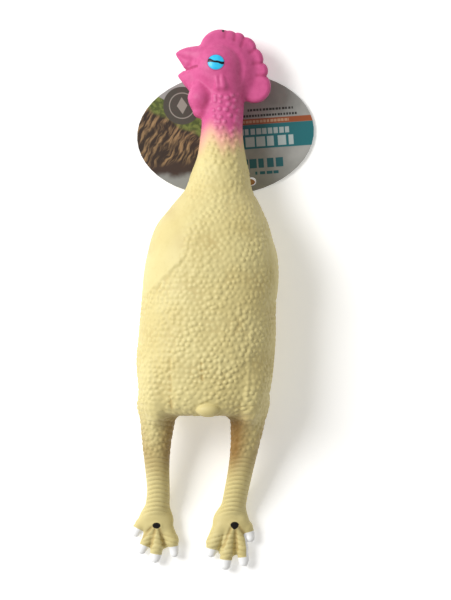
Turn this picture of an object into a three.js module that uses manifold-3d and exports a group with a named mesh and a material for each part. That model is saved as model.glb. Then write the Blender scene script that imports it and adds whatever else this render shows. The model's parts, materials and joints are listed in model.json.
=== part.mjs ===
// A squeaky latex rubber chicken with its cardboard hang tag, lying on its back.
//
// Frame, in millimetres: the origin is the centre of the flat patch that the torso rests on.
// +Z is up, +Y runs from the feet to the head, and +X points to the right as seen from above. Left and
// right in the names are as seen from above too, so that the left leg is at -X.
//
// The skin is one hollow moulding that flexes where it is thin and long. Here it is made in
// segments that part at those flex zones: each segment starts in a ball end at its pivot and ends in
// an open rim short of the next pivot, so that the segments turn without meeting.

import * as THREE from "three";
import { mergeVertices } from "three/addons/utils/BufferGeometryUtils.js";
import Module from "manifold-3d";

const wasm = await Module();
wasm.setup();

// ---------- driving dimensions ----------

const WALL = 2; // latex skin
const GAP = 0.4; // between pieces that face each other
const ROUND = 14; // sides of a limb's section
const TORSO_ROUND = 22; // sides of the torso's section

const TORSO_END = -68.5; // the underside between the legs
const TORSO_RIM = 62; // where the torso opens into the neck
const BACK_REST = { halfX: 20, halfY: 66 }; // reach of the flat floor under the back

const NECK_BASE = 72; // lifts the neck
const NECK_MID = 90; // bends the neck sideways
const HEAD_TURN = 104; // twists the head on the neck
const NECK_LOWER_RIM = 82;

const HEAD_PLANE = 17.5; // height of the head's plane of symmetry
const SKULL = { x: 7.5, y: 136.5, rx: 14, ry: 16.3, rz: 15 };
const COMB_HALF = 4.5; // half thickness of the comb's lobes
const COMB_WEB = 3; // half thickness between them

const HIP_Y = -79.5;
const HOCK_Y = -97;
const ANKLE_Y = -118;
const THIGH_RIM = -89.4;
const SHANK_RIM = -110.4;

const TAG = { x: 10.3, y: 98.5, halfX: 52.5, halfY: 36.3, tilt: 4, low: 1.2, high: 1.8 };
const SLOT = { down: 29.2, halfLength: 16.2, halfHeight: 2.4, lobe: 4.7 }; // hang slot in the tag
const PIN = { x: 16, y: 70, thread: 0.55, bend: 8, top: 21.6 }; // nylon tag pin
const PADDLE = { x: 20.5, halfX: 7.6, halfY: 2.6, thick: 0.9 };
const BARB = { length: 8, r: 0.6 };

const SQUEAKER = { x: 0, y: -30, r: 9, lip: 1.6, height: 11, wall: 1.4, face: 0.5 };

// Belly: the part of the front that dents when the toy is squeezed.
const BELLY = { x: 0.6, y: -12, halfX: 25, halfY: 41 };
// The smooth stub of the tail on the lower edge of the front.
const TAIL = { y: -64.4, z: 47, halfX: 7, halfY: 3.8, halfZ: 5.6 };

// Section stations: y, centre x, centre z, half width, half depth.
const TORSO = [
  [TORSO_END, -2.4, 26, 35.6, 19],
  [-65, -2.3, 26.4, 37.4, 23.8],
  [-58, -2, 27, 38.3, 26.8],
  [-46, -1.6, 27.8, 39.4, 29],
  [-30, -0.6, 28, 40.1, 30],
  [-10, 0.3, 28, 39.6, 30],
  [8, 1.8, 28, 38.9, 29.9],
  [24, 2.5, 28, 38, 29.4],
  [35, 2.7, 28, 35.6, 28.2],
  [44, 3.3, 27.5, 32.2, 25.5],
  [53, 4.5, 26.4, 26.9, 21.4],
  [TORSO_RIM, 6, 25.3, 21.4, 18],
];
const NECK = [
  [72, 6.6, 24.5, 17.3, 16.2],
  [82, 7.2, 23.6, 15.2, 15],
  [90, 7.6, 22.6, 13.9, 13.9],
  [98, 8.1, 21.3, 12.9, 12.9],
  [104, 8.5, 20.3, 12.4, 12.4],
  [112, 9, 19.2, 12.1, 12.1],
  [122, 9, 18, 12.6, 13],
  [132, 8.5, 17.5, 13, 13.6],
];
// Legs: y, centre x, centre z, radius.
const LEGS = {
  left: [
    [-79.5, -29.5, 23.4, 8.9],
    [-88, -29.6, 20.8, 8.2],
    [-97, -29.3, 17.8, 7.5],
    [-106, -29.1, 14.8, 7],
    [-114, -28.9, 12.2, 7],
    [-118, -29.2, 11, 7.4],
  ],
  right: [
    [-79.5, 23.1, 23.4, 8.8],
    [-88, 22.2, 20.8, 8.3],
    [-97, 20.3, 17.8, 7.6],
    [-106, 18.4, 14.8, 7.1],
    [-114, 16.8, 12.2, 7.3],
    [-118, 16, 11, 7.6],
  ],
};
// Toes, from the root to the claw's tip: [x, y, z, radius] twice.
const TOES = {
  left: [
    [-34, -127, 7.5, 5, -42.3, -137, 2.6, 2],
    [-33, -133, 6.5, 4, -38.7, -148, 2.8, 2.2],
    [-30, -133, 6.5, 4.5, -30.1, -153.6, 3.2, 2.4],
    [-26, -130, 6.5, 5.5, -20.4, -149.8, 3.4, 2.8],
  ],
  right: [
    [11, -130, 6.5, 5.5, 3.4, -149.8, 3.4, 2.8],
    [15, -133, 6.5, 4.8, 12.8, -157.6, 3.2, 2.6],
    [19, -133, 6.5, 4.8, 21.6, -155, 3, 2.4],
    [20, -127, 7.5, 4.8, 25, -140.6, 3, 2.2],
  ],
};
const FOOT_PAD = { left: [-30, -128, 7.6], right: [15.6, -128, 7.6] };
// Comb lobes, from the beak to the nape: [x, y, radius].
const COMB = [
  [4.5, 150.2, 9.6],
  [12.6, 155.2, 3.6],
  [18.8, 153.4, 3.8],
  [23.6, 149.8, 4.4],
  [27.4, 143.4, 4.7],
  [30.4, 136.8, 4.7],
  [28.5, 125.6, 8.9],
];

// ---------- materials ----------

const latex = (colour) => new THREE.MeshStandardMaterial({ color: colour, roughness: 0.55, metalness: 0 });
const CREAM = latex(0xecdfa6);
const PINK = latex(0xd9599a);
const CARD = new THREE.MeshStandardMaterial({ color: 0xc9c8c4, roughness: 0.45, metalness: 0 });
const NYLON = new THREE.MeshStandardMaterial({ color: 0xc08a4a, roughness: 0.35, metalness: 0 });
const PLASTIC = new THREE.MeshStandardMaterial({ color: 0xf2f2ee, roughness: 0.4, metalness: 0 });
const BRASS = new THREE.MeshStandardMaterial({ color: 0xc9a24a, roughness: 0.3, metalness: 1 });

// ---------- solids ----------

// A closed three.js geometry as a manifold-3d solid, moved to a place.
function solid(geometry, x = 0, y = 0, z = 0) {
  const bare = geometry.clone().translate(x, y, z);
  bare.deleteAttribute("normal");
  bare.deleteAttribute("uv");
  const merged = mergeVertices(bare, 1e-4);
  return new wasm.Manifold(
    new wasm.Mesh({
      numProp: 3,
      vertProperties: new Float32Array(merged.attributes.position.array),
      triVerts: new Uint32Array(merged.index.array),
    }),
  );
}

const join = (...parts) => parts.reduce((all, part) => all.add(part));

// A solid as a named mesh.
function piece(name, made, material) {
  const { vertProperties, triVerts, numProp, numVert } = made.getMesh();
  const points = new Float32Array(numVert * 3);
  for (let i = 0; i < numVert; i++) points.set(vertProperties.subarray(i * numProp, i * numProp + 3), i * 3);
  const geometry = new THREE.BufferGeometry();
  geometry.setAttribute("position", new THREE.BufferAttribute(points, 3));
  geometry.setIndex(new THREE.BufferAttribute(triVerts, 1));
  geometry.computeVertexNormals();
  const mesh = new THREE.Mesh(geometry, material);
  mesh.name = name;
  return mesh;
}

function ellipsoid(x, y, z, rx, ry, rz, around = ROUND) {
  const ball = new THREE.SphereGeometry(1, around, around / 2).rotateX(Math.PI / 2);
  return solid(ball.scale(rx, ry, rz), x, y, z);
}

// A cylinder along Z that stands on z.
function post(x, y, z, r, height, sides = ROUND) {
  const upright = new THREE.CylinderGeometry(r, r, height, sides).rotateX(Math.PI / 2);
  return solid(upright, x, y, z + height / 2);
}

// A cylinder along Y with its middle at y.
function rod(x, y, z, r, length, sides = ROUND) {
  return solid(new THREE.CylinderGeometry(r, r, length, sides), x, y, z);
}

// The section at y, read off a list of stations by a smooth curve through them.
function sectionAt(stations, y) {
  const size = stations[0].length - 1;
  const curve = new THREE.CubicInterpolant(
    stations.map((s) => s[0]),
    stations.flatMap((s) => s.slice(1)),
    size,
  );
  return [...curve.evaluate(y)];
}

// Sections at even steps along Y, as rings: y, centre x, centre z, half width, half depth.
function ringsAlong(stations, from, to, steps = 4, inset = 0) {
  const [first, last] = [stations[0][0], stations.at(-1)[0]];
  return Array.from({ length: steps + 1 }, (_, i) => {
    const y = THREE.MathUtils.lerp(from, to, i / steps);
    const [cx, cz, rx, rz = rx] = sectionAt(stations, THREE.MathUtils.clamp(y, first, last));
    return [y, cx, cz, rx - inset, rz - inset];
  });
}

// A closed solid through rings in the order of rising y. square above 2 fills out its corners.
function loft(rings, { square = 2, sides = ROUND } = {}) {
  const points = [];
  for (const [y, cx, cz, rx, rz] of rings)
    for (let k = 0; k < sides; k++) {
      const turn = (k / sides) * 2 * Math.PI;
      const c = Math.cos(turn);
      const s = Math.sin(turn);
      const x = cx + rx * Math.sign(c) * Math.abs(c) ** (2 / square);
      const z = cz + rz * Math.sign(s) * Math.abs(s) ** (2 / square);
      points.push(x, y, z);
    }
  const last = rings.length - 1;
  const ring = (i, k) => i * sides + (k % sides);
  const faces = [];
  for (let i = 0; i < last; i++)
    for (let k = 0; k < sides; k++) {
      faces.push(ring(i, k), ring(i + 1, k), ring(i + 1, k + 1));
      faces.push(ring(i, k), ring(i + 1, k + 1), ring(i, k + 1));
    }
  for (let k = 1; k < sides - 1; k++) {
    faces.push(ring(0, 0), ring(0, k), ring(0, k + 1));
    faces.push(ring(last, 0), ring(last, k + 1), ring(last, k));
  }
  const geometry = new THREE.BufferGeometry();
  geometry.setAttribute("position", new THREE.Float32BufferAttribute(points, 3));
  geometry.setIndex(faces);
  return solid(geometry);
}

// A tapered finger with round ends from one ball to another.
function finger([x0, y0, z0, r0, x1, y1, z1, r1], sides = 8) {
  const start = new THREE.Vector3(x0, y0, z0);
  const end = new THREE.Vector3(x1, y1, z1);
  const reach = start.distanceTo(end);
  const steps = 3;
  const profile = [];
  for (let i = 0; i <= steps; i++) {
    const turn = (i / steps) * (Math.PI / 2);
    profile.push(new THREE.Vector2(r0 * Math.sin(turn), -r0 * Math.cos(turn)));
  }
  for (let i = 0; i <= steps; i++) {
    const turn = (i / steps) * (Math.PI / 2);
    profile.push(new THREE.Vector2(r1 * Math.cos(turn), reach + r1 * Math.sin(turn)));
  }
  profile[0].x = 0;
  profile.at(-1).x = 0;
  const along = new THREE.Quaternion().setFromUnitVectors(
    new THREE.Vector3(0, 1, 0),
    end.clone().sub(start).normalize(),
  );
  const geometry = new THREE.LatheGeometry(profile, sides).applyQuaternion(along);
  return solid(geometry, x0, y0, z0);
}

// A hollow skin segment: it starts in a ball end round its pivot, open at the back, and ends in a rim.
function segment(stations, pivotY, rim) {
  const forward = Math.sign(rim - pivotY);
  const [x, z, rx, rz = rx] = sectionAt(stations, pivotY);
  const skin = (inset, past) => {
    const ball = [Math.PI / 7, Math.PI / 4.2, Math.PI / 2.8].map((turn) => {
      const out = Math.sin(turn);
      return [pivotY - forward * Math.cos(turn) * (rx - inset), x, z, (rx - inset) * out, (rz - inset) * out];
    });
    const tail = past ? [[ball[0][0] - forward * rx, ...ball[0].slice(1)]] : [];
    const rings = [...tail, ...ball, ...ringsAlong(stations, pivotY, rim + forward * past, 3, inset)];
    return loft(forward > 0 ? rings : rings.reverse());
  };
  return skin(0, 0).subtract(skin(WALL, 1));
}

// ---------- torso, belly and squeaker ----------

function torsoSkin() {
  const form = { square: 2.3, sides: TORSO_ROUND };
  const outer = loft(ringsAlong(TORSO, TORSO_END, TORSO_RIM, 13), form);
  const inner = loft(ringsAlong(TORSO, TORSO_END + WALL, TORSO_RIM + 1, 13, WALL), form);
  return [outer, inner];
}

// The belly's outline seen from above, as a prism. grow makes it larger all round.
function bellyPrism(grow = 0) {
  const outline = new THREE.Shape().absellipse(0, 0, BELLY.halfX + grow, BELLY.halfY + grow, 0, 2 * Math.PI);
  const prism = new THREE.ExtrudeGeometry(outline, { depth: 50, bevelEnabled: false, curveSegments: 16 });
  return solid(prism, BELLY.x, BELLY.y, 30);
}

function torsoPieces() {
  const [outer, inner] = torsoSkin();
  const below = solid(new THREE.BoxGeometry(200, 400, 40), 0, 0, -20);
  const patch = new THREE.BoxGeometry(2 * BACK_REST.halfX, 2 * BACK_REST.halfY, WALL);
  const floor = solid(patch, 0, 0, WALL / 2);
  const hips = Object.values(LEGS).map(([[, x, z]]) => rod(x, TORSO_END, z + 1.5, 6, 8));
  const tail = ellipsoid(0, TAIL.y, TAIL.z, TAIL.halfX, TAIL.halfY, TAIL.halfZ, 12);
  const shell = join(outer, tail).subtract(inner);
  const back = join(shell, floor.intersect(outer))
    .subtract(below)
    .subtract(bellyPrism(GAP))
    .subtract(join(...hips))
    .subtract(post(SQUEAKER.x, SQUEAKER.y, -1, SQUEAKER.r + GAP, 20));
  const belly = shell.intersect(bellyPrism());
  return [piece("torso_skin", back, CREAM), piece("belly_panel", belly, CREAM)];
}

// The squeaker is a moulded cup plugged into the skin, with a reed on a block inside it.
function squeakerPieces() {
  const { x, y, r, lip, height, wall, face } = SQUEAKER;
  const top = face + height;
  const flange = post(x, y, WALL + GAP, r + lip, 1.2);
  const cup = join(post(x, y, face, r, height), flange)
    .subtract(post(x, y, face + wall, r - wall, height))
    .subtract(post(x, y, face - 1, 1.5, wall + 2, 16));
  const blockLow = face + wall + GAP;
  const blockHeight = top - blockLow - 2.2;
  const channel = solid(new THREE.BoxGeometry(2.4, 8, 3), x, y + 0.5, blockLow + blockHeight);
  const block = post(x, y, blockLow, r - wall - GAP, blockHeight)
    .subtract(channel)
    .subtract(post(x, y, blockLow - 1, 1.2, blockHeight + 2, 16));
  const reed = solid(new THREE.BoxGeometry(3.6, 10, 0.3), x, y + 0.5, blockLow + blockHeight + GAP + 0.15);
  return [
    piece("squeaker_cup", cup, PLASTIC),
    piece("squeaker_reed_block", block, PLASTIC),
    piece("squeaker_reed", reed, BRASS),
  ];
}

// ---------- neck and head ----------

function neckPieces() {
  const pinHole = post(PIN.x, PIN.y, 0, PIN.thread + GAP, PIN.top, 12);
  const lower = segment(NECK, NECK_BASE, NECK_LOWER_RIM).subtract(pinHole);
  const upper = segment(NECK, NECK_MID, HEAD_TURN - GAP / 2);
  return [piece("neck_lower", lower, CREAM), piece("neck_upper", upper, CREAM)];
}

// A beak half: sections across X as [x, centre y, half height, half thickness].
function beak(stations) {
  const turned = stations.map(([x, cy, ry, rz]) => [x, cy, HEAD_PLANE, ry, rz]);
  const made = loft(ringsAlong(turned, stations[0][0], stations.at(-1)[0], 5), { sides: 12 });
  // The loft runs along Y with its sections' first axis along X, so the two are swapped by a mirror.
  return made.transform([0, 1, 0, 0, 1, 0, 0, 0, 0, 0, 1, 0, 0, 0, 0, 1]);
}

function headPiece() {
  const { x, y, rx, ry, rz } = SKULL;
  const from = HEAD_TURN + GAP / 2;
  const neck = loft(ringsAlong(NECK, from, 132));
  const skull = ellipsoid(x, y, HEAD_PLANE, rx, ry, rz);
  const upperBeak = beak([
    [-19, 145.6, 0.8, 0.8],
    [-17.5, 145, 2.6, 2.4],
    [-13, 143.6, 6, 4.6],
    [-8, 144, 6.9, 7],
    [-2, 144, 7.4, 9.5],
  ]);
  const lowerBeak = beak([
    [-18, 132.6, 0.7, 0.8],
    [-16.5, 132.4, 1.9, 2],
    [-12, 131.2, 4.2, 4],
    [-7, 130, 6.2, 6],
    [-2, 129.5, 7.4, 8.5],
  ]);
  const comb = join(
    post(9, 136, HEAD_PLANE - COMB_WEB, 19, 2 * COMB_WEB, 20),
    ...COMB.map(([lx, ly, r]) => post(lx, ly, HEAD_PLANE - COMB_HALF, r, 2 * COMB_HALF, 10)),
  );
  const wattles = join(
    ...[-1, 1].map((side) => ellipsoid(-4, 119.5, HEAD_PLANE + side * 5.5, 6.8, 11.5, 6.5, 12)),
  );
  const hollow = join(
    loft(ringsAlong(NECK, from - 1, 132, 4, WALL)),
    ellipsoid(x, y, HEAD_PLANE, rx - WALL, ry - WALL, rz - WALL),
  );
  const made = join(neck, skull, upperBeak, lowerBeak, comb, wattles).subtract(hollow);
  return piece("head", made, PINK);
}

// ---------- legs ----------

function legPieces(side) {
  const stations = [...LEGS[side]].reverse();
  const thigh = segment(stations, HIP_Y, THIGH_RIM);
  const shank = segment(stations, HOCK_Y, SHANK_RIM);
  const [x, z, r] = sectionAt(stations, ANKLE_Y);
  const [padX, padY, padZ] = FOOT_PAD[side];
  const foot = join(
    ellipsoid(x, ANKLE_Y, z, r, r, r),
    ellipsoid(padX, padY, padZ, 9.6, 11, 6.2),
    ...TOES[side].map((toe) => finger(toe)),
  );
  return [
    piece(`${side}_thigh`, thigh, CREAM),
    piece(`${side}_shank`, shank, CREAM),
    piece(`${side}_foot`, foot, CREAM),
  ];
}

// ---------- hang tag and its pin ----------

function tagPiece() {
  const { x, y, halfX, halfY, tilt, low, high } = TAG;
  const edge = new THREE.Path().absellipse(0, 0, halfX, halfY, 0, 2 * Math.PI);
  const slot = new THREE.Path();
  const { down, halfLength, halfHeight, lobe } = SLOT;
  const reach = halfLength - halfHeight;
  const lift = Math.sqrt(lobe ** 2 - halfHeight ** 2);
  slot.absarc(reach, -down, halfHeight, -Math.PI / 2, Math.PI / 2, false);
  slot.lineTo(lift, -down + halfHeight);
  slot.absarc(0, -down, lobe, Math.asin(halfHeight / lobe), Math.PI - Math.asin(halfHeight / lobe), false);
  slot.absarc(-reach, -down, halfHeight, Math.PI / 2, (3 * Math.PI) / 2, false);
  slot.closePath();
  const outline = new THREE.Shape(edge.getPoints(24).slice(1));
  outline.holes.push(new THREE.Path(slot.getPoints(4)));
  const board = new THREE.ExtrudeGeometry(outline, { depth: high - low, bevelEnabled: false });
  board.rotateZ(THREE.MathUtils.degToRad(tilt));
  return piece("hang_tag", solid(board, x, y, low), CARD);
}

// The nylon pin: a barb inside the neck, a thread that bends, and a flat paddle under the tag.
function pinPieces() {
  const { x, y, thread, bend, top } = PIN;
  const threadTo = (low, high) => post(x, y, low, thread, high - low, 8);
  const barb = join(rod(x, y, top, BARB.r, BARB.length, 8), threadTo(bend + GAP / 2, top));
  const outline = new THREE.Shape().absellipse(0, 0, PADDLE.halfX, PADDLE.halfY, 0, 2 * Math.PI);
  const form = { depth: PADDLE.thick, bevelEnabled: false, curveSegments: 6 };
  const flat = new THREE.ExtrudeGeometry(outline, form);
  const paddle = join(solid(flat, PADDLE.x, y, 0), threadTo(PADDLE.thick / 2, bend - GAP / 2));
  return [piece("tag_pin_barb", barb, NYLON), piece("tag_pin_paddle", paddle, NYLON)];
}

// ---------- the whole ----------

const chicken = new THREE.Group();
chicken.add(...torsoPieces(), ...squeakerPieces(), ...neckPieces(), headPiece());
chicken.add(...legPieces("left"), ...legPieces("right"), tagPiece(), ...pinPieces());

export default chicken;
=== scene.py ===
"""A squeaky latex rubber chicken with its card hang tag, lying on a pale floor.

The latex is one field of distances, made in millimetres in the frame's axes. It is turned into one mesh,
given its goose bumps, warts and scales as real relief, and cut across at the flex zones into pieces.
"""

import json
import math

import bpy
import numpy as np
import openvdb
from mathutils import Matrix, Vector


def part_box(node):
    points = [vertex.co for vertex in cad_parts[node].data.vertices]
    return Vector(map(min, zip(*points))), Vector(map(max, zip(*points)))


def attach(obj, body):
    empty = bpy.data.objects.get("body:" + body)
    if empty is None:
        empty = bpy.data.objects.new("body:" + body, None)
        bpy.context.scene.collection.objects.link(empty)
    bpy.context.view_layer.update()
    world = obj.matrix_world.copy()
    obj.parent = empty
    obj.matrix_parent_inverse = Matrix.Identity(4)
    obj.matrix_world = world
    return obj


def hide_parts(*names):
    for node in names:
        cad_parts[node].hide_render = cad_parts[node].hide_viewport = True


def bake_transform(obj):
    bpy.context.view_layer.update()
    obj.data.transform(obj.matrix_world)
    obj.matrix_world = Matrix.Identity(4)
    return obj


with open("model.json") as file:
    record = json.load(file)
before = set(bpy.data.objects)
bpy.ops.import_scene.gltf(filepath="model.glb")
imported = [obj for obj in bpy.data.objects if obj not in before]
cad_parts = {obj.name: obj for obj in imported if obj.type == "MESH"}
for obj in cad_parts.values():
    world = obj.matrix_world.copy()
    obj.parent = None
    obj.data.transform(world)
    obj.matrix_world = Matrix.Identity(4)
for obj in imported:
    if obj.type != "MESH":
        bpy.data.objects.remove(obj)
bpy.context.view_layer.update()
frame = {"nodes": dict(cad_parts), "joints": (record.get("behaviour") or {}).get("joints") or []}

MM = 0.001


def box_mm(node):
    low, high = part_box(node)
    return np.array(low) / MM, np.array(high) / MM


PIVOT = {j["name"]: np.array(j["pos_m"]) / MM for j in frame["joints"] if "pos_m" in j}

# ---------- driving dimensions, in mm ----------

VOXEL = 0.55
HEAD_PLANE = float(np.mean(box_mm("head")[0][2:] + box_mm("head")[1][2:]) / 2)
TORSO_LOW, TORSO_HIGH = box_mm("torso_skin")
TORSO_END = TORSO_LOW[1]
SKULL = (5.5, 135.2)
EYE = (4.7, 138.5)
SQUEAKER = np.mean([box_mm("squeaker_cup")[0], box_mm("squeaker_cup")[1]], axis=0)
TAG = np.mean([box_mm("hang_tag")[0], box_mm("hang_tag")[1]], axis=0)
TAG_TILT = math.radians(4)

# The trunk from the rump to the skull: y, left edge, right edge, low edge, high edge.
TRUNK = [
    (-76, -37.8, 33.0, 2.5, 50.5),
    (-64, -39.2, 34.3, 1.6, 52.0),
    (-54, -40.0, 35.8, 0.0, 54.5),
    (-40, -41.0, 37.8, -1.4, 57.0),
    (-21, -40.2, 39.4, -2.0, 58.0),
    (-2, -38.4, 39.5, -2.0, 58.0),
    (16, -36.7, 40.7, -2.0, 58.0),
    (26, -35.5, 40.0, -1.5, 57.4),
    (35, -33.2, 37.7, -0.4, 56.0),
    (45, -28.8, 34.8, 1.8, 53.2),
    (54, -22.1, 30.8, 4.6, 48.0),
    (64, -13.6, 25.8, 7.6, 42.4),
    (74, -9.8, 24.0, 8.4, 39.8),
    (84, -6.2, 22.1, 8.6, 37.8),
    (94, -4.6, 20.6, 8.8, 35.0),
    (101, -3.8, 20.3, 8.4, 33.2),
    (108, -3.6, 20.7, 7.2, 31.9),
    (118, -3.8, 21.2, 5.4, 31.0),
    (131, -4.0, 20.8, 4.2, 31.0),
]
# Legs from the rump down: y, centre x, centre z, radius.
LEGS = {
    "left": [
        (-54, -29.2, 29.8, 11.0),
        (-64, -29.2, 27.6, 10.8),
        (-70, -29.3, 26.0, 10.1),
        (-76, -29.6, 24.4, 9.3),
        (-82, -29.9, 22.6, 8.5),
        (-95, -29.9, 18.4, 7.4),
        (-104, -29.5, 15.5, 6.9),
        (-112, -29.2, 12.3, 6.7),
        (-119, -29.6, 9.0, 7.0),
        (-127, -30.7, 5.6, 7.2),
    ],
    "right": [
        (-54, 24.6, 29.8, 11.0),
        (-64, 23.8, 27.6, 10.8),
        (-70, 23.3, 26.0, 10.1),
        (-76, 22.8, 24.4, 9.4),
        (-82, 22.1, 22.6, 8.6),
        (-95, 20.1, 18.4, 7.7),
        (-104, 18.4, 15.5, 7.3),
        (-112, 16.8, 12.3, 7.2),
        (-119, 15.5, 9.0, 7.2),
        (-127, 14.2, 5.6, 7.4),
    ],
}
# Toes as chains of balls to the claw's point: x, y, z, radius.
TOES = {
    "left": [
        [
            (-35.6, -128.6, 7.0, 4.0), (-39.4, -132.4, 5.6, 3.4),
            (-42.0, -136.0, 4.5, 3.1), (-42.7, -137.8, 4.8, 2.6),
        ],
        [
            (-32.6, -134.0, 6.4, 3.4), (-36.4, -141.6, 5.6, 3.3),
            (-38.5, -145.8, 4.6, 3.1), (-39.2, -147.8, 4.8, 2.7),
        ],
        [
            (-29.8, -134.0, 7.0, 4.0), (-30.3, -145.4, 5.8, 3.9),
            (-31.0, -151.0, 4.6, 3.3), (-31.3, -152.8, 4.8, 2.9),
        ],
        [
            (-25.2, -133.5, 6.4, 4.2), (-21.4, -142.0, 5.6, 3.9),
            (-20.3, -146.6, 4.6, 2.8), (-20.0, -149.8, 4.8, 2.5),
        ],
    ],
    "right": [
        [
            (7.4, -134.0, 6.4, 4.8), (3.2, -143.4, 5.6, 4.3),
            (2.0, -147.8, 4.6, 3.3), (1.6, -149.6, 4.8, 2.9),
        ],
        [
            (13.0, -135.5, 7.0, 4.0), (11.4, -148.4, 5.8, 3.9),
            (10.4, -154.2, 4.6, 3.5), (10.2, -156.8, 4.8, 3.1),
        ],
        [
            (17.8, -135.5, 6.4, 3.6), (20.1, -146.6, 5.6, 3.6),
            (21.0, -153.0, 4.6, 3.1), (21.2, -155.0, 4.8, 2.7),
        ],
        [
            (19.2, -130.0, 7.0, 4.0), (22.8, -134.2, 5.6, 3.5),
            (24.4, -138.0, 4.5, 3.0), (24.9, -140.6, 4.8, 2.7),
        ],
    ],
}
PAD = {"left": (-30.6, -130.5, 6.6, 10.2, 8.6, 5.4), "right": (13.4, -131.0, 6.6, 10.6, 9.0, 5.4)}
WEB = {"left": (-29.6, -139.0, 4.0, 9.6, 9.0, 2.8), "right": (12.2, -142.0, 4.0, 9.8, 10.0, 2.8)}
# Grooves that run from the dot down between the toes.
TOE_GROOVES = [
    ((-33.1, -134.0), (-39.2, -140.8)),
    ((-31.2, -135.0), (-34.1, -146.0)),
    ((-28.6, -134.5), (-25.6, -146.0)),
    ((13.6, -134.5), (8.6, -146.0)),
    ((16.2, -135.7), (17.0, -148.0)),
    ((18.2, -133.0), (22.4, -140.0)),
]
FOOT_DOT = {"left": (-30.4, -133.0, 2.4, 1.8), "right": (15.7, -133.0, 2.4, 2.3)}

TAIL = (0.2, -63.2, 49.2), (7.0, 4.4, 5.5)  # the nub: centre and radii
THIGH_TOP = (27.0, -48, 36.5), (9.6, 24, 13.4)  # the swelling over each hip, from the middle

# Comb lobes, from the beak to the nape: x, y, radius.
COMB = [
    (7.3, 146.8, 12.0),
    (12.4, 152.7, 5.5),
    (17.5, 152.5, 4.5),
    (21.3, 147.2, 7.2),
    (24.8, 140.8, 7.8),
    (29.6, 134.4, 5.7),
    (27.4, 125.2, 9.5),
]
# Furrows from the notches in between.
COMB_FURROWS = [
    ((10.2, 156.9), (9.6, 152.6)),
    ((16.0, 155.4), (15.6, 152.2)),
    ((21.3, 153.3), (19.5, 148.6)),
    ((27.8, 147.2), (24.9, 144.8)),
    ((32.0, 139.0), (27.2, 138.6)),
    ((34.0, 131.3), (29.2, 131.6)),
]
# The beak in sections across X: x, low edge, high edge, half thickness. The lip is a bevel under the ridge.
BEAK_RIDGE = [
    (-18.9, 144.0, 145.0, 0.8),
    (-17.0, 143.0, 146.4, 2.6),
    (-14.0, 141.2, 147.8, 4.5),
    (-10.0, 138.8, 148.7, 6.3),
    (-4.0, 135.6, 149.4, 9.0),
]
BEAK_LIP = [
    (-18.6, 143.2, 144.6, 0.6),
    (-17.0, 140.9, 145.4, 1.7),
    (-14.9, 137.6, 146.0, 2.7),
    (-13.5, 135.4, 146.0, 3.2),
    (-11.8, 135.9, 146.0, 4.0),
    (-8.0, 136.5, 146.0, 5.5),
    (-4.0, 136.5, 146.0, 7.0),
]
LOWER_BEAK = [
    (-17.6, 131.1, 132.3, 0.8),
    (-15.7, 128.6, 133.6, 2.4),
    (-13.7, 125.9, 135.3, 3.8),
    (-12.2, 124.2, 137.0, 4.8),
    (-10.4, 122.0, 138.0, 5.9),
    (-3.0, 119.0, 139.0, 9.0),
]

# Wattle and ear drops as chains of balls: x, y, distance from the head's plane, radius.
WATTLE = [(-4.0, 124.4, 4.4, 6.0), (-4.7, 118.0, 6.8, 6.7), (-4.3, 111.6, 6.0, 4.8)]
EAR_DROPS = [
    [(5.0, 130.0, 13.1, 0.8), (5.9, 124.2, 13.4, 1.3)],
    [(8.2, 131.0, 13.0, 0.9), (8.8, 124.6, 13.5, 1.5)],
    [(5.9, 124.2, 13.4, 1.3), (8.8, 124.5, 13.5, 1.5)],
]

# The wing's hind edge: y and x of the crease.
WING = [
    (110, 0.5),
    (90, -3.0),
    (64, -10.6),
    (48, -12.6),
    (38, -12.4),
    (30, -12.2),
    (25, -13.0),
    (18, -18.8),
    (11.5, -25.6),
    (4.4, -32.2),
    (0, -36.0),
]


# ---------- distances ----------


def smooth_rows(rows):
    """Columns of a table as smooth functions of its first column, through every row."""
    table = np.array(sorted(rows), float)
    y = table[:, 0]
    slopes = np.gradient(table[:, 1:], y, axis=0)
    fine = np.linspace(y[0], y[-1], 400)
    i = np.clip(np.searchsorted(y, fine, "right") - 1, 0, len(y) - 2)
    step = (y[i + 1] - y[i])[:, None]
    t = ((fine - y[i]) / (y[i + 1] - y[i]))[:, None]
    a, b = table[i, 1:], table[i + 1, 1:]
    curve = (
        a * (2 * t**3 - 3 * t**2 + 1)
        + b * (3 * t**2 - 2 * t**3)
        + slopes[i] * step * (t**3 - 2 * t**2 + t)
        + slopes[i + 1] * step * (t**3 - t**2)
    )
    return lambda at: [np.interp(at, fine, curve[:, k]).astype(np.float32) for k in range(curve.shape[1])]


def smooth_min(a, b, k):
    h = np.clip(0.5 + 0.5 * (b - a) / k, 0, 1)
    return b + (a - b) * h - k * h * (1 - h)


def smooth_max(a, b, k):
    return -smooth_min(-a, -b, k)


def ramp(value, start, end):
    t = np.clip((value - start) / (end - start), 0, 1)
    return t * t * (3 - 2 * t)


def section_distance(u, v, ru, rv, power):
    """About the distance to a superellipse with half widths ru and rv."""
    au, av = np.abs(u) / ru + 1e-4, np.abs(v) / rv + 1e-4
    m = (au**power + av**power) ** (1 / power)
    steep = np.sqrt((au ** (power - 1) / ru) ** 2 + (av ** (power - 1) / rv) ** 2)
    slope = m ** (1 - power) * steep
    return (m - 1) / np.maximum(slope, 0.5 / np.maximum(ru, rv))


def ellipsoid(x, y, z, centre, radii):
    px, py, pz = x - centre[0], y - centre[1], z - centre[2]
    k0 = np.sqrt((px / radii[0]) ** 2 + (py / radii[1]) ** 2 + (pz / radii[2]) ** 2) + 1e-5
    k1 = np.sqrt((px / radii[0] ** 2) ** 2 + (py / radii[1] ** 2) ** 2 + (pz / radii[2] ** 2) ** 2) + 1e-6
    return k0 * (k0 - 1) / k1


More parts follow.
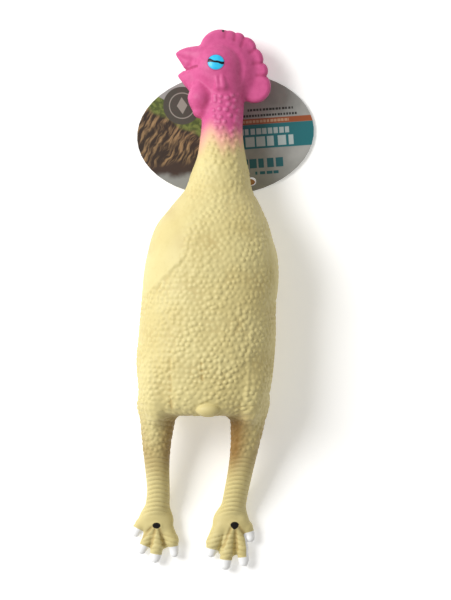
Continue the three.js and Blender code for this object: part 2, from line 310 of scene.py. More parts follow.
def cone(x, y, z, a, b):
    """A tapered finger between two balls: x, y, z, radius."""
    ax, ay, az, ra = a
    bx, by, bz, rb = b
    dx, dy, dz = bx - ax, by - ay, bz - az
    t = np.clip(((x - ax) * dx + (y - ay) * dy + (z - az) * dz) / (dx * dx + dy * dy + dz * dz), 0, 1)
    px, py, pz = x - ax - t * dx, y - ay - t * dy, z - az - t * dz
    return np.sqrt(px**2 + py**2 + pz**2) - (ra + (rb - ra) * t)


trunk_at = smooth_rows(TRUNK)
leg_at = {side: smooth_rows(rows) for side, rows in LEGS.items()}
beak_at = [(rows[0][0], smooth_rows(rows)) for rows in (BEAK_RIDGE, BEAK_LIP, LOWER_BEAK)]


def trunk(x, y, z):
    left, right, low, high = trunk_at(y)
    power = 2.0 + 0.3 * ramp(-y, -60, -30)
    u, v = x - (left + right) / 2, z - (low + high) / 2
    d = section_distance(u, v, (right - left) / 2, (high - low) / 2, power)
    d = smooth_max(d, TORSO_END + 1.6 - y, 11)
    d = smooth_max(d, y - 131, 4)
    for side in (-1, 1):  # the thighs' upper ends swell the rump
        (out, cy, cz), radii = THIGH_TOP
        d = smooth_min(d, ellipsoid(x, y, z, (side * out - 2.6, cy, cz), radii), 4)
    return smooth_min(d, ellipsoid(x, y, z, *TAIL), 0.5)


def leg(x, y, z, side):
    cx, cz, r = leg_at[side](y)
    d = (np.hypot(x - cx, z - cz) - r) * 0.94
    d = smooth_max(d, y + 58, 6)
    return smooth_max(d, -127 - y, 5)


def foot(x, y, z, side):
    d = smooth_min(*(ellipsoid(x, y, z, plate[side][:3], plate[side][3:]) for plate in (PAD, WEB)), 2)
    for chain in TOES[side]:
        toe = 60.0
        for a, b in zip(chain, chain[1:]):
            toe = smooth_min(toe, cone(x, y, z, a, b), 0.8)
        d = smooth_min(d, toe, 1.1)
    return d


def head(x, y, z):
    w = z - HEAD_PLANE
    aside = np.abs(w)
    d = ellipsoid(x, y, w, (*SKULL, 0), (15.9, 17.0, 14.2))
    for tip, rows_at in beak_at:
        low, high, thick = rows_at(x)
        half = section_distance(y - (low + high) / 2, w, (high - low) / 2, thick, 2.4)
        half = smooth_max(half, tip - x, 0.8)
        half = smooth_max(half, x - 1, 3)
        d = smooth_min(d, half, 0.7 if tip < -18 else 1.2)
    outline = np.hypot(x - 10.5, y - 135.6) - 19.8
    for cx, cy, r in COMB:
        outline = smooth_min(outline, np.hypot(x - cx, y - cy) - r, 0.4)
    edge, half = 2.6, 3.7 + 3.4 * ramp(np.hypot(x - SKULL[0], y - SKULL[1]), 24, 15)
    a, b = outline + edge, aside - (half - edge)
    comb = np.hypot(np.maximum(a, 0), np.maximum(b, 0)) + np.minimum(np.maximum(a, b), 0) - edge
    d = smooth_min(d, comb, 1.6)
    hang = np.where(w < 0, -1.4 * w, w)  # the wattle is flatter on the side it lies on
    drop = 60.0
    for a, b in zip(WATTLE, WATTLE[1:]):
        drop = smooth_min(drop, cone(x, y, hang, a, b), 1.5)
    d = smooth_min(d, drop, 0.8)
    for a, b in EAR_DROPS:
        d = smooth_min(d, cone(x, y, aside, a, b), 0.6)
    return d


def latex(x, y, z):
    """The whole skin. Arrays span a few centimetres of y, so parts that lie elsewhere are left out."""
    low, high = float(y.min()), float(y.max())
    d = np.full(np.broadcast(x, y, z).shape, 60, np.float32)
    if low < 134 and high > -84:
        d = trunk(x, y, z)
    for side in LEGS:
        if low < -50:
            d = smooth_min(d, leg(x, y, z, side), 5)
        if low < -112:
            d = smooth_min(d, foot(x, y, z, side), 4.5)
    if high > 100:
        d = smooth_min(d, head(x, y, z), 3)
    if low < SQUEAKER[1] + 14 and high > SQUEAKER[1] - 14:
        well = np.maximum(np.hypot(x - SQUEAKER[0], y - SQUEAKER[1]) - 9.7, z - 12.5)
        d = smooth_max(d, -well, 0.8)
    return smooth_max(d, -z, 1.5)


# ---------- relief ----------


def jitter(i, j, salt):
    """A steady pseudo-random number from 0 to 1 for a lattice cell."""
    n = np.sin(i * 127.1 + j * 311.7 + salt * 74.7) * 43758.5453
    return n - np.floor(n)


def bumps(u, v, pitch, radius, loose=0.5, salt=0):
    """Round bumps, 0 to 1 high, on a staggered loose lattice."""
    row = np.floor(v / pitch)
    best = np.zeros_like(u)
    for dj in (-1, 0, 1):
        j = row + dj
        shift = 0.5 * np.mod(j, 2)
        for di in (-1, 0, 1):
            i = np.floor(u / pitch - shift) + di
            cx = (i + shift + 0.5 + loose * (jitter(i, j, salt) - 0.5)) * pitch
            cy = (j + 0.5 + loose * (jitter(i, j, salt + 1) - 0.5)) * pitch
            size = radius * (0.8 + 0.4 * jitter(i, j, salt + 2))
            q = 1 - ((u - cx) ** 2 + (v - cy) ** 2) / size**2
            best = np.maximum(best, np.clip(q, 0, 1) ** 0.7)
    return best


def segment_distance(x, y, a, b):
    dx, dy = b[0] - a[0], b[1] - a[1]
    t = np.clip(((x - a[0]) * dx + (y - a[1]) * dy) / (dx * dx + dy * dy), 0, 1)
    return np.hypot(x - a[0] - t * dx, y - a[1] - t * dy)


def crease(x, y, a, b, width):
    return np.exp(-((segment_distance(x, y, a, b) / width) ** 2))


def claw_distance(p):
    best = np.full(len(p), 20.0)
    for side in TOES:
        for chain in TOES[side]:
            root, tip = np.array(chain[-2][:3]), np.array(chain[-1][:3])
            along = (tip - root) / np.linalg.norm(tip - root)
            back = (root - p) @ along
            off = np.linalg.norm(p - root + back[:, None] * along, axis=1)
            best = np.minimum(best, np.maximum(back - 2.2 + 0.12 * off**2, off - 4.6))
    return best


wing_at = smooth_rows(WING)


def trunk_relief(x, y, z):
    left, right, low, high = trunk_at(y)
    cx, cz = (left + right) / 2, (low + high) / 2
    turn = np.arctan2((x - cx) / (right - left), (z - cz) / (high - low))
    around = turn * (right - left + high - low) / 4
    front = ramp(z, 6, 26)

    (edge,) = wing_at(y)
    inside = (edge - x) * 0.78
    side = ramp(z, 14, 24)
    smooth = ramp(inside, -2, 3) * ramp(y, 1, 6) * side
    feather = side * ramp(y, 1.5, 5) * ramp(-y, -31, -20)
    rim = np.exp(-(((inside - 1.6) / 1.6) ** 2)) * feather
    furrow = np.exp(-(((inside + 0.9) / 1.0) ** 2)) * feather
    far_wing = ramp(x - (37.0 - 0.10 * (y - 5)), 0, 2.0) * ramp(y, 0, 6) * ramp(-y, -52, -30) * side

    vary = 0.8 + 0.2 * np.sin(0.17 * x + 0.6) * np.sin(0.13 * y + 1.0) + 0.2 * np.sin(0.31 * x - 0.23 * y)
    goose = bumps(around, y, 3.05, 1.32, loose=0.66)
    where = (1 - 0.93 * smooth) * (1 - 0.5 * far_wing) * (0.3 + 0.7 * front) * ramp(-y, -84, -72)
    where *= ramp(3.05 - np.abs(turn), 0, 0.15) * ramp(ellipsoid(x, y, z, *TAIL), 0.4, 1.6)
    rolls = np.sin(0.21 * y + 0.05 * x + 1.1) * np.sin(0.09 * x - 0.04 * y) * 0.2
    rolls = rolls + np.sin(0.33 * x + 0.11 * y) * 0.08

    strong = 1 + 0.35 * np.exp(-(((x - 6) / 24) ** 2) - ((y + 38) / 30) ** 2)
    h = (0.56 - 0.1 * ramp(y, 0, 50)) * strong * goose * vary * where + rolls * front * ramp(-y, -70, -50)
    h += 0.3 * ramp(inside, -1.5, 2) * feather + 0.34 * rim - 0.16 * furrow + 0.4 * far_wing
    top = ramp(z, 38, 46)
    h -= 0.4 * crease(x, y, (-21.8, -30), (-21.4, -62), 1.2) * ramp(z, 30, 40)
    h += 0.35 * crease(x, y, (25.2, -21), (22.3, -58), 1.1) * ramp(z, 30, 40)
    h -= 0.55 * crease(x, y, (-3.6, -34), (-3.0, -46), 0.7) * top
    h += 0.35 * crease(x, y, (7.2, -35), (7.4, -45), 0.8) * top
    return h


def neck_relief(x, y, z):
    warts = bumps(x - 1.0, y, 3.9, 1.5, loose=0.8, salt=9)
    left = 0.5 - 5.5 * ramp(-y, -100, -84)
    where = ramp(y, 70, 82) * ramp(-y, -121.8, -119) * ramp(x - left, 0, 3.5) * ramp(-x, -21, -17.5)
    return 0.68 * warts * where * ramp(np.abs(z - HEAD_PLANE), 3, 8)


def head_relief(x, y, z):
    aside = ramp(np.abs(z - HEAD_PLANE), 6, 9)
    r = np.hypot((x - EYE[0]) / 4.9, (y - EYE[1]) / 4.5)
    ball = 0.45 * np.sqrt(np.clip(1 - r**2, 0, 1)) * aside
    mouth = crease(x, y, (-13.8, 135.2), (-6.5, 136.6), 0.6)
    furrows = sum(crease(x, y, a, b, 1.2) for a, b in COMB_FURROWS)
    out = np.hypot(x - SKULL[0], y - SKULL[1])
    hem = np.exp(-(((out - 16.9) / 0.6) ** 2)) * ramp(x + y, 140, 150) * aside
    return ball + 0.3 * hem - 0.9 * mouth - 0.32 * furrows * ramp(out, 17.2, 19.0)


def dot_reach(x, y, side):
    """1 on the edge of a foot's dot. The right one comes to a blunt point below."""
    dx, dy, ra, rb = FOOT_DOT[side]
    narrow = 1 + 0.35 * np.clip((y - dy) / rb, -1, 0.2) if side == "right" else 1
    return np.hypot((x - dx) / (ra * narrow), (y - dy) / rb)


def leg_relief(x, y, z):
    h = -0.6 * sum(crease(x, y, a, b, 0.85) for a, b in TOE_GROOVES) * ramp(z, 4, 6.5)
    for side in LEGS:
        cx, cz, r = leg_at[side](np.clip(y, -127, -56))
        near = np.abs(x - cx) < 24
        u = np.clip((x - cx) / r, -1.2, 1.2)
        front = ramp(z - cz, -1, 4)
        phase = (y - 1.9 * (1 - u**2)) / 2.65
        ring = np.abs(np.cos(math.pi * phase)) ** 0.45
        shank = ramp(-y, 88, 92) * ramp(y, -129, -124)
        thigh = ramp(y, -93, -88)
        pimples = bumps(np.arctan2(x - cx, z - cz) * r, y, 3.05, 1.35, loose=0.6, salt=5)
        toes = ramp(-y, 136, 139) * ramp(claw_distance(np.stack([x, y, z], axis=1)), 0.3, 1.0)
        knuckle = np.abs(np.cos(math.pi * (y + 0.25 * np.abs(x - cx)) / 2.9)) ** 0.35
        h += near * (0.62 * (ring - 0.7) * shank * front + 0.56 * pimples * thigh * (0.4 + 0.6 * front))
        h += near * 0.62 * (knuckle - 0.8) * toes * ramp(z, 4, 6.5)
        m = dot_reach(x, y, side)
        h += (0.22 * np.exp(-(((m - 1.3) / 0.16) ** 2)) + 0.15 * (m < 1)) * ramp(z, 5, 8)
    return h


def relief(x, y, z):
    h = trunk_relief(x, y, z) * ramp(y, -71, -68)
    h = h + neck_relief(x, y, z) * ramp(y, 66, 70)
    h = h + head_relief(x, y, z) * ramp(y, 104, 108)
    h = h + leg_relief(x, y, z) * ramp(-y, 67.5, 70.5)
    return h * ramp(z, 0.3, 2.0)


# ---------- the mesh of the skin ----------


def in_slabs(function, points, size=20000):
    """function over points, in runs of neighbouring y so that it can leave far parts out."""
    order = np.argsort(points[:, 1], kind="stable")
    out = np.zeros(len(points), np.float32)
    for start in range(0, len(points), size):
        part = order[start : start + size]
        out[part] = function(*points[part].T)
    return out


def skin_mesh():
    low = np.array([-48, -163, -2.5])
    high = np.array([45, 163, 63])
    count = np.ceil((high - low) / VOXEL).astype(int)
    axes = [low[k] + VOXEL * np.arange(count[k]) for k in range(3)]
    field = np.empty(tuple(count), np.float32)
    for start in range(0, count[1], 24):
        part = axes[1][start : start + 24]
        grid = [a.astype(np.float32) for a in np.meshgrid(axes[0], part, axes[2], indexing="ij")]
        field[:, start : start + 24] = latex(*grid)
    volume = openvdb.FloatGrid(8.0)
    volume.copyFromArray(np.clip(field, -8, 8))
    points, quads = volume.convertToQuads(isovalue=0.0)
    points = points.astype(np.float64) * VOXEL + low
    step = 0.15
    for _ in range(2):
        here = in_slabs(latex, points)
        ahead = [in_slabs(latex, points + step * axis) for axis in np.eye(3)]
        slope = np.stack([(value - here) / step for value in ahead], axis=1)
        length = np.maximum(np.linalg.norm(slope, axis=1), 0.3)
        move = np.clip(here / length, -0.5, 0.5)
        points -= slope / length[:, None] * move[:, None]
    return points, np.asarray(quads)[:, ::-1], slope / length[:, None]


def vertex_normals(points, quads):
    corner = points[quads]
    across = np.cross(corner[:, 2] - corner[:, 0], corner[:, 3] - corner[:, 1])
    normals = np.zeros_like(points)
    for k in range(4):
        np.add.at(normals, quads[:, k], across)
    return normals / np.maximum(np.linalg.norm(normals, axis=1), 1e-9)[:, None]


points, quads, slope = skin_mesh()
normals = vertex_normals(points, quads)
if (normals * slope).sum() < 0:
    quads = quads[:, ::-1]
    normals = -normals
height = relief(*points.T)
rest = points.copy()
points = points + normals * height[:, None]
points[:, 2] = np.maximum(points[:, 2], 0.02)
normals = vertex_normals(points, quads)


# ---------- paint and painted shade, mostly as distances from painted edges ---


def dot_distance(p):
    best = np.full(len(p), 20.0)
    for side in FOOT_DOT:
        m = dot_reach(p[:, 0], p[:, 1], side)
        best = np.minimum(best, np.where(p[:, 2] > 5, (m - 1) * 2, 20))
    speck = np.hypot(p[:, 0] - 8.9, p[:, 1] - 157.8) - 0.75
    return np.minimum(best, speck)


def eye_distance(p):
    m = np.hypot((p[:, 0] - EYE[0]) / 4.85, (p[:, 1] - EYE[1]) / 4.45)
    return np.where(np.abs(p[:, 2] - HEAD_PLANE) > 7, (m - 1) * 4.5, 20)


def slit_distance(p):
    u = (p[:, 0] - EYE[0]) / 4.85
    v = p[:, 1] - EYE[1]
    middle = 1.0 - 1.5 * ramp(u, -1.0, 1.0) + 0.15 * np.sin(7 * u)
    half = 1.05 - 0.45 * ramp(u, -0.8, -0.2) + 0.2 * ramp(u, 0.2, 0.8)
    return np.abs(v - middle) - half


def pink_amount(p):
    wave = 2.4 * np.sin(0.31 * p[:, 0] + 0.12 * p[:, 2]) + 1.4 * np.sin(0.8 * p[:, 0] - 0.5 * p[:, 2] + 1)
    return ramp(p[:, 1] + wave, 80, 111)


def thigh_shade_amount(p):
    """Painted shade: brown on the inner sides of the thighs and low down under the rump."""
    best = np.zeros(len(p))
    for side, toward, start, strength in (("left", 1, -0.3, 0.75), ("right", -1, -0.9, 1.1)):
        cx, _, r = leg_at[side](p[:, 1])
        inner = ramp(toward * (p[:, 0] - cx) / r, start, 0.9)
        best = np.maximum(best, strength * inner * (np.abs(p[:, 0] - cx) < 20))
    best = np.maximum(best, 0.6 * ramp(-p[:, 2], -38, -20))
    return np.minimum(best, 1) * ramp(p[:, 1], -110, -88) * ramp(-p[:, 1], 63, 72)


PAINT_AND_SHADE = {
    "rest": rest,
    "relief": height,
    "pink": pink_amount(rest),
    "tan": thigh_shade_amount(rest),
    "claw": claw_distance(rest),
    "dot": dot_distance(rest),
    "eye": eye_distance(rest),
    "slit": slit_distance(rest),
}


# ---------- materials ----------


class Shader:
    """A Principled material, and short names for the nodes that feed it."""

    def __init__(self, name, **constants):
        self.material = bpy.data.materials.new(name)
        self.material.use_nodes = True
        self.tree = self.material.node_tree
        self.tree.nodes.clear()
        self.bsdf = self.tree.nodes.new("ShaderNodeBsdfPrincipled")
        out = self.tree.nodes.new("ShaderNodeOutputMaterial")
        self.tree.links.new(self.bsdf.outputs[0], out.inputs[0])
        for socket, value in constants.items():
            self.set(socket.replace("_", " ").title(), value)

    def put(self, socket, value):
        if isinstance(value, bpy.types.NodeSocket):
            self.tree.links.new(value, socket)
        elif isinstance(value, (tuple, list)) and socket.type == "RGBA" and len(value) == 3:
            socket.default_value = (*value, 1)
        else:
            socket.default_value = value

    def set(self, socket, value):
        self.put({s.name.lower(): s for s in self.bsdf.inputs}[socket.lower()], value)

    def node(self, kind, inputs, output=0, **settings):
        made = self.tree.nodes.new(kind)
        for key, value in settings.items():
            setattr(made, key, value)
        for key, value in inputs.items():
            self.put(made.inputs[key], value)
        return made.outputs[output]

    def math(self, operation, a, b=0.0, c=0.0, clamp=False):
        return self.node("ShaderNodeMath", {0: a, 1: b, 2: c}, operation=operation, use_clamp=clamp)

    def mix(self, factor, a, b, blend="MIX"):
        return self.node("ShaderNodeMix", {0: factor, 6: a, 7: b}, 2, data_type="RGBA", blend_type=blend)

    def attribute(self, name, output="Fac"):
        return self.node("ShaderNodeAttribute", {}, output, attribute_name=name)

    def place(self):
        return self.node("ShaderNodeTexCoord", {}, "Object")

    def noise(self, vector, scale, detail=2.0, roughness=0.5):
        inputs = {"Vector": vector, "Scale": scale, "Detail": detail, "Roughness": roughness}
        return self.node("ShaderNodeTexNoise", inputs, 0)

    def cells(self, vector, scale, feature="F1"):
        return self.node("ShaderNodeTexVoronoi", {"Vector": vector, "Scale": scale}, 0, feature=feature)

    def span(self, value, low, high):
        """0 at low and 1 at high."""
        inputs = {"Value": value, "From Min": low, "From Max": high}
        return self.node("ShaderNodeMapRange", inputs, 0, interpolation_type="SMOOTHSTEP")

    def bump(self, height, distance, strength=1.0):
        inputs = {"Height": height, "Distance": distance, "Strength": strength}
        self.set("Normal", self.node("ShaderNodeBump", inputs, "Normal"))


def srgb(r, g, b):
    """A colour as the eye names it, 0 to 255, in linear light."""
    return tuple(((c / 255 + 0.055) / 1.055) ** 2.4 if c > 10 else c / 3295 for c in (r, g, b))


def latex_material():
    s = Shader("latex", specular_ior_level=0.32)
    rest_place = s.attribute("rest", "Vector")
    broad = s.noise(rest_place, 0.05, 3)
    blotch = s.noise(rest_place, 0.35, 4, 0.6)
    grain = s.noise(rest_place, 2.6, 3, 0.6)
    relief_height = s.attribute("relief")

    cream = s.mix(s.span(broad, 0.35, 0.65), srgb(222, 209, 150), srgb(217, 202, 141))
    cream = s.mix(s.math("MULTIPLY", s.span(blotch, 0.5, 0.8), 0.25), cream, srgb(200, 182, 120))
    # Painted shade: the hollows of the relief are painted darker, in the cream here and in the pink below.
    hollow_shade = s.span(relief_height, 0.05, -0.5)
    cream = s.mix(s.math("MULTIPLY", hollow_shade, 0.5), cream, srgb(176, 146, 84))
    # Painted shade: the inner thighs and the low underside of the rump are darkened towards brown.
    cream = s.mix(s.math("MULTIPLY", s.attribute("tan"), 0.9), cream, srgb(140, 100, 42))

    pink = s.mix(s.span(blotch, 0.35, 0.75), srgb(216, 94, 151), srgb(205, 82, 139))
    # Painted shade in the hollows of the pink.
    pink = s.mix(s.math("MULTIPLY", hollow_shade, 0.5), pink, srgb(150, 34, 76))
    # Painted highlight: the tops of the bumps are painted a lighter pink.
    pink = s.mix(s.math("MULTIPLY", s.span(relief_height, 0.25, 0.6), 0.3), pink, srgb(232, 138, 182))
    spray = s.math("ADD", s.attribute("pink"), s.math("MULTIPLY", s.math("SUBTRACT", grain, 0.5), 0.35))
    blend_tone = s.mix(s.span(spray, 0.0, 0.5), cream, srgb(232, 178, 152))
    colour = s.mix(s.span(spray, 0.34, 0.95), blend_tone, pink)

    claw = s.span(s.math("ADD", s.attribute("claw"), s.math("MULTIPLY", grain, 0.8)), 0.7, 0.0)
    colour = s.mix(claw, colour, srgb(252, 253, 255))
    ragged = s.math("MULTIPLY", s.math("SUBTRACT", grain, 0.5), 0.5)
    dot = s.span(s.math("ADD", s.attribute("dot"), ragged), 0.15, -0.1)
    colour = s.mix(dot, colour, srgb(22, 20, 20))

    eye = s.span(s.attribute("eye"), 0.12, -0.12)
    blue = s.mix(s.span(s.noise(rest_place, 0.25, 2), 0.35, 0.7), srgb(64, 206, 250), srgb(38, 190, 244))
    blue = s.mix(s.span(s.attribute("eye"), -0.6, 0.0), blue, srgb(24, 160, 215))
    colour = s.mix(eye, colour, blue)
    slit = s.span(s.math("ADD", s.attribute("slit"), ragged), 0.15, -0.15)
    colour = s.mix(s.math("MULTIPLY", slit, eye), colour, srgb(20, 18, 26))
    rim = s.math("MULTIPLY", s.span(s.attribute("eye"), 0.9, 0.1), s.span(s.attribute("eye"), -0.1, 0.1))
    colour = s.mix(s.math("MULTIPLY", rim, 0.35), colour, srgb(120, 28, 66))
    s.set("Base Color", colour)

    painted = s.math("MAXIMUM", eye, dot)
    rough = s.math("MULTIPLY_ADD", blotch, 0.16, 0.44)
    s.set("Roughness", s.math("SUBTRACT", rough, s.math("MULTIPLY", painted, 0.22)))
    pores = s.cells(rest_place, 1.5)
    fine = s.math("ADD", s.math("MULTIPLY", grain, 0.7), s.math("MULTIPLY", pores, 0.5))
    s.bump(fine, 0.00005, 0.6)
    return s.material


def card_material():
    s = Shader("printed_card", specular_ior_level=0.5, coat_weight=0.15, coat_roughness=0.25)
    place = s.place()
    x, y = [s.node("ShaderNodeSeparateXYZ", {0: place}, k) for k in range(2)]
    c, n = math.cos(TAG_TILT) / MM, math.sin(TAG_TILT) / MM
    x0, y0 = s.math("SUBTRACT", x, TAG[0] * MM), s.math("SUBTRACT", y, TAG[1] * MM)
    u = s.math("ADD", s.math("MULTIPLY", x0, c), s.math("MULTIPLY", y0, n))
    v = s.math("SUBTRACT", s.math("MULTIPLY", y0, c), s.math("MULTIPLY", x0, n))
    across = s.node("ShaderNodeCombineXYZ", {0: u, 1: v, 2: 0.0})

    def band(value, low, high, soft=0.25):
        rise = s.span(value, low - soft, low + soft)
        fall = s.span(value, high + soft, high - soft)
        return s.math("MULTIPLY", rise, fall)

    def box(left, right, low, high, soft=0.2):
        return s.math("MULTIPLY", band(u, left, right, soft), band(v, low, high, soft))

    def row(left, right, low, high, pitch, salt):
        """A row of solid blocks where printed words would stand."""
        cell = s.math("ADD", s.math("DIVIDE", u, pitch), salt)
        part = s.math("FRACT", cell)
        width = s.node("ShaderNodeTexWhiteNoise", {"W": s.math("FLOOR", cell)}, 0, noise_dimensions="1D")
        block = s.span(s.math("SUBTRACT", s.math("MULTIPLY_ADD", width, 0.25, 0.62), part), -0.03, 0.03)
        return s.math("MULTIPLY", block, box(left, right, low, high))

    grain = s.noise(across, 3.0, 3)
    cloud = s.noise(across, 0.08, 3)
    grey = s.mix(s.span(cloud, 0.3, 0.7), srgb(168, 168, 165), srgb(150, 151, 148))
    colour = grey
    right = s.span(u, -1.2, -0.8)
    colour = s.mix(s.math("MULTIPLY", band(v, -10.0, 4.4), right), colour, srgb(14, 104, 112))
    colour = s.mix(s.math("MULTIPLY", band(v, 4.4, 7.8), right), colour, srgb(150, 74, 34))
    for blocks, ink in (
        (row(8, 40, -8.8, -3.0, 6.4, 0.2), srgb(176, 190, 190)),
        (row(8, 38, -1.6, 1.9, 3.4, 0.6), srgb(168, 182, 182)),
        (row(10, 38, 5.3, 6.9, 2.1, 0.1), srgb(190, 150, 120)),
        (row(10, 43, 8.8, 10.2, 1.7, 0.4), srgb(44, 42, 42)),
        (row(14, 41, 12.2, 13.6, 1.9, 0.9), srgb(44, 42, 42)),
        (row(8, 33, -21.5, -16.0, 5.2, 0.5), srgb(20, 98, 106)),
        (row(16, 30, -25.4, -23.6, 4.0, 0.3), srgb(20, 98, 106)),
    ):
        colour = s.mix(blocks, colour, ink)

    edge = s.math("ADD", v, s.math("MULTIPLY", u, 0.62))
    slant = s.math("ADD", s.math("MULTIPLY", u, 0.55), s.math("MULTIPLY", v, 0.84))
    level = s.math("SUBTRACT", s.math("MULTIPLY", v, 0.55), s.math("MULTIPLY", u, 0.84))
    warp = s.math("MULTIPLY", s.noise(across, 0.07, 2), 9.0)
    along, side = s.math("MULTIPLY", slant, 0.2), s.math("ADD", level, warp)
    strands = s.node("ShaderNodeCombineXYZ", {0: along, 1: side, 2: 0.0})
    streak = s.noise(strands, 0.42, 3, 0.6)
    patch = s.mix(s.span(streak, 0.42, 0.72), srgb(48, 32, 22), srgb(164, 132, 92))
    shade = s.math("ADD", v, s.math("MULTIPLY", cloud, 12.0))
    patch = s.mix(s.span(shade, -7.0, -12.0), patch, srgb(58, 40, 32))
    leaf = s.mix(s.span(s.noise(across, 0.3, 2), 0.4, 0.6), srgb(74, 88, 34), srgb(116, 128, 60))
    high = s.math("ADD", edge, s.math("MULTIPLY", cloud, 12.0))
    patch = s.mix(s.span(high, -6.0, -1.0), patch, leaf)
    pale = s.math("ADD", v, s.math("MULTIPLY", cloud, 10.0))
    patch = s.mix(s.span(pale, -15.0, -20.0), patch, srgb(140, 142, 142))
    colour = s.mix(s.math("MULTIPLY", s.span(edge, 1.6, 0.6), s.span(u, -0.8, -1.2)), colour, patch)

    du, dv = s.math("ADD", u, 24.5), s.math("SUBTRACT", v, 18.5)
    ring = s.math("SQRT", s.math("ADD", s.math("MULTIPLY", du, du), s.math("MULTIPLY", dv, dv)))
    colour = s.mix(s.span(ring, 11.4, 11.0), colour, srgb(74, 70, 62))
    colour = s.mix(band(ring, 7.2, 7.8, 0.15), colour, srgb(150, 146, 136))
    leaves = s.math("ADD", s.math("MULTIPLY", s.math("ABSOLUTE", du), 1.6), s.math("ABSOLUTE", dv))
    colour = s.mix(s.span(leaves, 5.2, 4.8), colour, srgb(150, 146, 136))
    colour = s.mix(s.math("MULTIPLY", s.span(grain, 0.55, 0.8), 0.12), colour, srgb(96, 94, 90))
    s.set("Base Color", colour)
    s.set("Roughness", s.math("MULTIPLY_ADD", grain, 0.15, 0.36))
    s.bump(s.noise(across, 1.2, 4), 0.00006, 0.5)
    return s.material


def moulded_material(name, light, dark, scale, **constants):
    """A plastic or thin metal with slight colour drift and a fine moulded grain."""
    s = Shader(name, **constants)
    place = s.place()
    drift = s.noise(place, scale * 120, 3)
    grain = s.noise(place, scale * 2500, 3)
    s.set("Base Color", s.mix(s.span(drift, 0.35, 0.65), light, dark))
    s.set("Roughness", s.math("MULTIPLY_ADD", grain, 0.2, 0.28))
    s.bump(grain, 0.00004, 0.6)
    return s.material


LATEX = latex_material()
CARD = card_material()
NYLON = moulded_material("tag_pin_nylon", srgb(196, 142, 82), srgb(164, 108, 54), 1, specular_ior_level=0.5)
PLASTIC = moulded_material("squeaker_plastic", srgb(240, 240, 236), srgb(226, 226, 220), 1)
BRASS = moulded_material("reed_brass", srgb(214, 178, 92), srgb(184, 144, 66), 2, metallic=1.0)

for nodes, material in (
    (["hang_tag"], CARD),
    (["tag_pin_barb", "tag_pin_paddle"], NYLON),
    (["squeaker_cup", "squeaker_reed_block"], PLASTIC),
    (["squeaker_reed"], BRASS),
):
    for name in nodes:
        frame["nodes"][name].data.materials.clear()
        frame["nodes"][name].data.materials.append(material)


# ---------- pieces ----------


def piece(name, chosen):
    """The skin's chosen faces as an object of their own, with the whole skin's normals."""
    faces = quads[chosen]
    used, index = np.unique(faces, return_inverse=True)
    index = index.reshape(-1)
    mesh = bpy.data.meshes.new(name)
    mesh.vertices.add(len(used))
    mesh.vertices.foreach_set("co", (points[used] * MM).ravel())
    mesh.loops.add(len(index))
    mesh.loops.foreach_set("vertex_index", index.astype(np.int32))
    mesh.polygons.add(len(faces))
    mesh.polygons.foreach_set("loop_start", np.arange(0, len(index), 4, dtype=np.int32))
    mesh.update(calc_edges=True)
    mesh.validate()
    for key, values in PAINT_AND_SHADE.items():
        kind = "FLOAT_VECTOR" if values.ndim == 2 else "FLOAT"
        data = mesh.attributes.new(key, kind, "POINT").data
        data.foreach_set("vector" if values.ndim == 2 else "value", values[used].astype(np.float32).ravel())
    mesh.polygons.foreach_set("use_smooth", np.ones(len(faces), bool))
    mesh.normals_split_custom_set_from_vertices(normals[used])
    mesh.materials.append(LATEX)
    made = bpy.data.objects.new(name, mesh)
    bpy.context.scene.collection.objects.link(made)
    return made


def between(first, second):
    return (PIVOT[first][1] + PIVOT[second][1]) / 2


# Cuts across Y, between the flex zones.
NECK_CUTS = (62, between("neck_lift", "neck_side_bend") + 3.5, between("neck_side_bend", "head_twist"))
LEG_CUTS = (-70.5, between("left_hip", "left_hock"), between("left_hock", "left_ankle"))
middle = points[quads].mean(axis=1)
X, Y = middle[:, 0], middle[:, 1]


def bend(obj):
    """Bakes obj's placement into its mesh."""
    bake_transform(obj)


torso = piece("torso_latex", (Y > LEG_CUTS[0]) & (Y <= NECK_CUTS[0]))
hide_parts("torso_skin", "belly_panel")
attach(torso, "torso")
torso.parent = None  # the piece is left with no parent
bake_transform(torso)

neck_low = piece("neck_base_latex", (Y > NECK_CUTS[0]) & (Y <= NECK_CUTS[1]))
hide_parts("neck_lower")
bend(neck_low)

neck_top = piece("neck_top_latex", (Y > NECK_CUTS[1]) & (Y <= NECK_CUTS[2]))
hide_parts("neck_upper")
bend(neck_top)

head_piece = piece("head_latex", Y > NECK_CUTS[2])
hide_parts("head")
bend(head_piece)

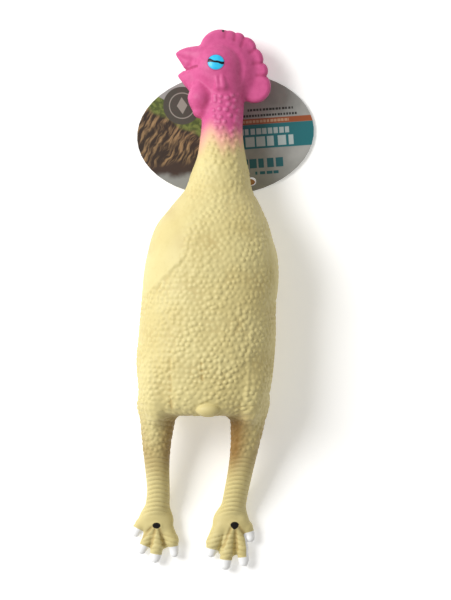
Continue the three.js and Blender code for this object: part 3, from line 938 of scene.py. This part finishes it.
for side in LEGS:
    here = X < -4 if side == "left" else X >= -4
    thigh = piece(f"{side}_thigh_latex", here & (Y <= LEG_CUTS[0]) & (Y > LEG_CUTS[1]))
    shank = piece(f"{side}_shank_latex", here & (Y <= LEG_CUTS[1]) & (Y > LEG_CUTS[2]))
    paw = piece(f"{side}_foot_latex", here & (Y <= LEG_CUTS[2]))
    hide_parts(f"{side}_thigh")
    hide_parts(f"{side}_shank")
    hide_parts(f"{side}_foot")
    bend(thigh)
    bend(shank)
    bend(paw)


# ---------- floor, light and camera ----------

floor_mesh = bpy.data.meshes.new("floor")
reach = 3.0
corners = [(-reach, -reach, 0), (reach, -reach, 0), (reach, reach, 0), (-reach, reach, 0)]
floor_mesh.from_pydata(corners, [], [(0, 1, 2, 3)])
floor = bpy.data.objects.new("floor", floor_mesh)
floor.location.z = -0.0003
bpy.context.scene.collection.objects.link(floor)
paper = Shader("floor_paper", roughness=0.9, specular_ior_level=0.1)
fleck = paper.noise(paper.place(), 40.0)
paper.set("Base Color", paper.mix(fleck, srgb(250, 250, 250), srgb(246, 246, 246)))
paper.set("Emission Color", (1, 1, 1))
paper.set("Emission Strength", 0.32)
floor_mesh.materials.append(paper.material)

scene = bpy.context.scene
world = bpy.data.worlds.new("studio")
scene.world = world
world.use_nodes = True
world.node_tree.nodes["Background"].inputs[0].default_value = (1, 0.965, 0.88, 1)
world.node_tree.nodes["Background"].inputs[1].default_value = 0.34
scene.view_settings.view_transform = "Standard"


def area_light(name, place, power, size):
    light = bpy.data.lights.new(name, "AREA")
    light.energy, light.size = power, size
    lamp = bpy.data.objects.new(name, light)
    lamp.location = place
    lamp.rotation_euler = (-Vector(place)).to_track_quat("-Z", "Y").to_euler()
    scene.collection.objects.link(lamp)


area_light("key", (-1.6, 0.7, 1.75), 57, 1.2)

FRAME_HIGH = 354 * MM  # the view's height at the table
CAMERA_UP = 1.6
camera_data = bpy.data.cameras.new("camera")
camera = bpy.data.objects.new("camera", camera_data)
camera_data.sensor_width = 36
camera_data.lens = 36 * CAMERA_UP / FRAME_HIGH
camera.location = (10.3 * MM, 0, CAMERA_UP + 10 * MM)
scene.collection.objects.link(camera)
scene.camera = camera
